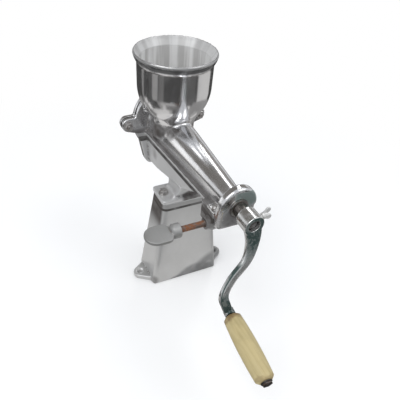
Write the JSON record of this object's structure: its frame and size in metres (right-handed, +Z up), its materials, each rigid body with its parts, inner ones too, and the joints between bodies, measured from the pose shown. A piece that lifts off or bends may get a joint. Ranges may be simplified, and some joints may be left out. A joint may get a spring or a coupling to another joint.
{
  "type": "manual juicer",
  "caption": "Hand-cranked screw juicer in cast aluminium: round hopper, tapered body with juice trough, S-shaped crank with wooden handle, on a hollow tapered pedestal.",
  "frame": {"origin": "middle between the two table screws, on the table", "axes": "+Z up; the screw's axis and the crank shaft run along Y, the crank end at -Y; X goes across the body"},
  "size_m": [0.19, 0.4023, 0.315],
  "materials": {
    "cast_satin": "satin cast aluminium",
    "cast_polished": "polished cast aluminium with pits at the fillets",
    "steel_sheet": "stainless sheet",
    "steel": "zinc plated steel",
    "rusty_steel": "rusty threaded steel",
    "dark_steel": "dark oiled steel",
    "bronze": "sintered bronze",
    "gasket": "flat gasket sheet",
    "wood": "pale turned wood, oiled"
  },
  "bodies": {
    "stand": {"pedestal": "cast_satin", "upper_housing": "cast_polished", "juice_trough": "cast_polished", "strainer": "steel_sheet", "end_cover": "cast_polished", "cover_gasket": "gasket", "rear_bushing": "bronze", "front_bushing": "bronze", "thrust_washer": "steel", "cover_bolts": "steel", "cover_washers": "steel", "cover_nuts": "steel", "lip_bolts": "steel", "foot_bolts": "steel", "foot_washers": "steel", "foot_nuts": "steel"},
    "crank": {"auger": "cast_polished", "crank_arm": "cast_polished", "handle_pin": "dark_steel", "handle_washer": "steel", "handle_nut": "dark_steel"},
    "crank_screw": {"crank_set_screw": "steel"},
    "grip": {"handle": "wood"},
    "choke_slider": {"choke_pad": "steel_sheet"},
    "choke": {"choke_screw": "rusty_steel", "choke_knob": "cast_polished"}
  },
  "joints": [
    {"name": "crank_turn", "type": "hinge", "parent": "stand", "child": "crank", "pos_m": [0, 0, 0.22], "axis": [0, 1, 0], "continuous": true},
    {"name": "handle_spin", "type": "hinge", "parent": "crank", "child": "grip", "pos_m": [-0.02685, -0.2045, 0.1123], "axis": [0.0872, 0.9962, 0], "continuous": true},
    {"name": "crank_screw_turn", "type": "hinge", "parent": "crank", "child": "crank_screw", "pos_m": [0, -0.1645, 0.22], "axis": [0.9397, 0, 0.342], "range_deg": [-20, 720]},
    {"name": "choke_slide", "type": "slide", "parent": "stand", "child": "choke_slider", "axis": [1, 0, 0], "range_m": [0, 0.0125]},
    {"name": "choke_turn", "type": "hinge", "parent": "choke_slider", "child": "choke", "pos_m": [-0.03, -0.1185, 0.192], "axis": [1, 0, 0], "range_deg": [0, 3600]}
  ],
  "couplings": [
    {"joint": "choke_turn", "follows": "choke_slide", "rad_per_m": 5026.5}
  ]
}
